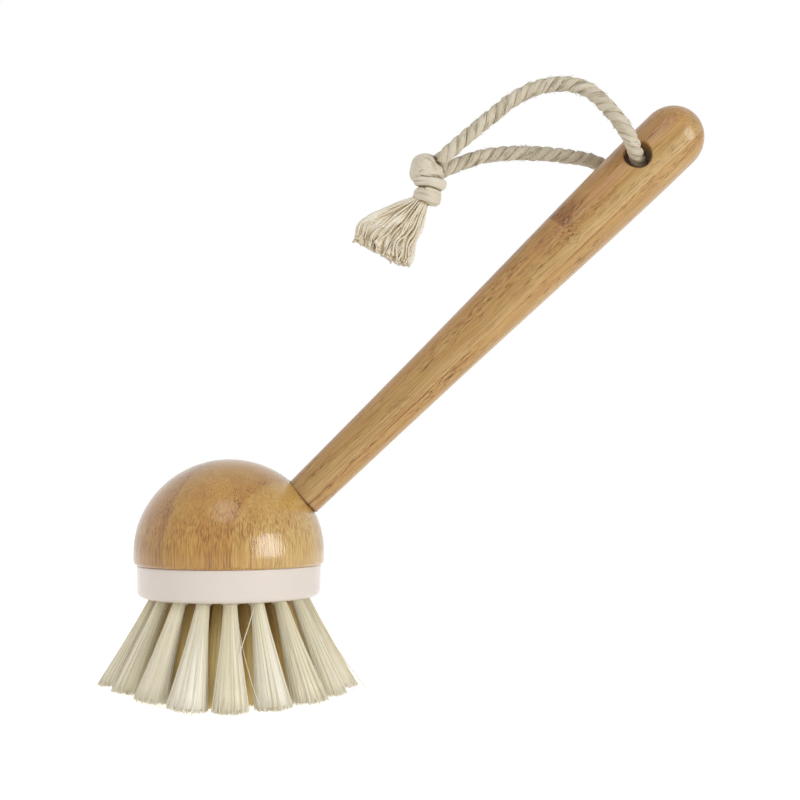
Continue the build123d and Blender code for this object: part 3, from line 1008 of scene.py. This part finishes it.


# The outer tufts get painted shade: they are a little darker and greyer towards the root, under the plate.
outer_fibre = natural_fibre(
    "natural_bristle_fibre", deep="#DBCFAA", pale="#FCF9EE", root="#DED6B6", root_shade_share=0.6
)
# The rows behind get painted shade and painted light that comes through the outer tufts: they are golden, and
# deep brown towards the root.
shaded_inner_fibre = natural_fibre(
    "natural_bristle_fibre_shaded", deep="#FFDA7E", pale="#FFF0B8", root="#AB8544", root_shade_share=0.85
)
golden_angle = math.pi * (3 - math.sqrt(5))
bristle_random = random.Random(41)
for name, circle_radius, tilt, turn, tip_share in tuft_places():
    angle = math.radians(turn - 90)
    outward = Vector((math.cos(angle), math.sin(angle), 0))
    sideways = Vector((-outward.y, outward.x, 0))
    lean_out = math.tan(math.radians(tilt + splay * max(0, -outward.x) * tilt / outer_tilt))
    row = name.split("_")[1]
    tip_share *= bristle_random.uniform(0.88, 1.14)
    drift = bristle_random.gauss(0, tuft_drift) * mm
    bristle_count = bristles_in_tuft[row]

    def tuft_point(drop, out, along, bend_out, bend_along):
        """A place in the spreading tuft, from its drop below the plate and its offsets at the root."""
        share = max(0, drop / bristle_height)
        widening = 1 + (tip_share - 1) * share**widening_power
        distance = circle_radius + drop * lean_out + out * widening + bend_out * share**2
        across = along * widening + (bend_along + drift) * share**2
        return outward * distance + sideways * across + Vector((0, 0, bristle_height - drop))

    bristles = []
    for i in range(bristle_count):
        from_axis = packed_radius * math.sqrt((i + 0.5) / bristle_count)
        around = i * golden_angle + bristle_random.uniform(-0.3, 0.3)
        out = from_axis * math.cos(around)
        along = from_axis * math.sin(around)
        bend_out = bristle_random.gauss(0, bend_spread) * mm
        bend_along = bristle_random.gauss(0, bend_spread) * mm
        if bristle_random.random() < stray_share:
            bend_out *= stray_bends[0]
            bend_along *= stray_bends[1]

        full = tuft_point(bristle_height, out, along, bend_out, bend_along)
        tip_drop = bristle_height - tip_level(full) - abs(bristle_random.gauss(0, tip_spread)) * mm
        drops = [-bristle_root]
        for step in range(bristle_pieces + 1):
            drops.append(tip_drop * step / bristle_pieces)
        thickness = bristle_radius * bristle_random.uniform(0.8, 1.25)
        bristles.append([(tuft_point(drop, out, along, bend_out, bend_along), thickness) for drop in drops])
    if name == sprung_tuft:
        bristles.append([(place, sprung_radius) for place in smooth_line(sprung_route, 2 * mm)])
    tuft_build = bmesh.new()
    tuft_build.from_mesh(tube_mesh(name, bristles, 0))
    rings = []
    for level in mass_levels:
        ring = []
        for j in range(mass_corners):
            around = 2 * math.pi * j / mass_corners
            out, along = mass_radius * math.cos(around), mass_radius * math.sin(around)
            worn_level = tip_level(tuft_point(bristle_height, out, along, 0, 0))
            mass_drop = bristle_height - mass_end - worn_level
            ring.append(tuft_build.verts.new(tuft_point(mass_drop * level, out, along, 0, 0)))
        rings.append(ring)
    join_rings(tuft_build, rings)
    tuft_mesh = built_mesh(name, tuft_build)
    fibre = outer_fibre if row == "outer" else shaded_inner_fibre
    tuft = add_piece(f"bristles_{name}", tuft_mesh, "brush_head", fibre)
    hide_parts(name)


# Tuft anchors
# Flat pieces of galvanised wire, one across the fold of each tuft. They are pressed into the bottom of
# the holes and hold the tufts there.
galvanised_wire, tree = new_material("galvanised_steel_wire")
place = add_node(tree, "ShaderNodeTexCoord").outputs["Object"]
zinc = mixed_colour(tree, noise(tree, place, 0.6 * mm, 3), linear("#8F9294"), linear("#B9BCBE"))
add_surface(tree, {"Base Color": zinc, "Metallic": 1.0, "Roughness": 0.4})
dress_node("tuft_anchors", galvanised_wire)


# Floor and light
# A white sweep under soft light: a round softbox far out at the front right that the varnish mirrors, a
# weaker one above the front, and a white room that is lighter at the left. Rays from the camera and off
# gloss see plain white.
def seen_rays(tree):
    """One for rays from the camera, off gloss or through something clear, and nought for the rest."""
    rays = add_node(tree, "ShaderNodeLightPath").outputs
    seen = maths(tree, "MAXIMUM", rays["Is Camera Ray"], rays["Is Glossy Ray"])
    return maths(tree, "MAXIMUM", seen, rays["Is Transmission Ray"])


floor_paper, tree = new_material("white_light_table")
level = share_of(tree, seen_rays(tree), 0, 1, most=0.75, least=0.42)
paper = add_node(tree, "ShaderNodeBsdfDiffuse", {"Color": linear("#F4F3F1")})
glow = add_node(tree, "ShaderNodeEmission", {"Color": linear("#FFFFFF"), "Strength": level})
both = add_node(tree, "ShaderNodeAddShader", {0: paper.outputs[0], 1: glow.outputs[0]})
add_node(tree, "ShaderNodeOutputMaterial", {"Surface": both.outputs[0]})

floor_build = bmesh.new()
bmesh.ops.create_grid(floor_build, x_segments=1, y_segments=1, size=1.5)
floor_mesh = built_mesh("floor", floor_build)
floor_mesh.materials.append(floor_paper)
floor = bpy.data.objects.new("floor", floor_mesh)
bpy.context.scene.collection.objects.link(floor)

world = bpy.data.worlds.new("white_room")
world.use_nodes = True
tree = world.node_tree
tree.nodes.clear()
seen = seen_rays(tree)
facing = add_node(tree, "ShaderNodeTexCoord").outputs["Generated"]
rightward = add_node(tree, "ShaderNodeSeparateXYZ", {"Vector": facing}).outputs["X"]
level = share_of(tree, rightward, -1, 1, most=0.02, least=0.98)
room = add_node(tree, "ShaderNodeBackground", {"Color": linear("#FFFFFF"), "Strength": level})
white = add_node(tree, "ShaderNodeBackground", {"Color": linear("#FFFFFF"), "Strength": 1.0})
sky = add_node(tree, "ShaderNodeMixShader", {"Fac": seen, 1: room.outputs[0], 2: white.outputs[0]})
add_node(tree, "ShaderNodeOutputWorld", {"Surface": sky.outputs[0]})
bpy.context.scene.world = world


def add_softbox(name, place, target, size, power):
    """A rounded lamp that faces a point."""
    lamp_data = bpy.data.lights.new(name, "AREA")
    lamp_data.shape = "ELLIPSE"
    lamp_data.size, lamp_data.size_y = size
    lamp_data.energy = power
    lamp = bpy.data.objects.new(name, lamp_data)
    lamp.location = place
    lamp.rotation_euler = (Vector(target) - Vector(place)).to_track_quat("-Z", "Y").to_euler()
    bpy.context.scene.collection.objects.link(lamp)


add_softbox(
    "softbox_right", place=(1.33, -0.9, 0.27), target=(0.01, -0.03, 0.05), size=(0.92, 0.94), power=14
)
add_softbox(
    "softbox_above", place=(0, -0.49, 0.71), target=(0, -0.03, 0.055), size=(0.38, 0.44), power=0.8
)
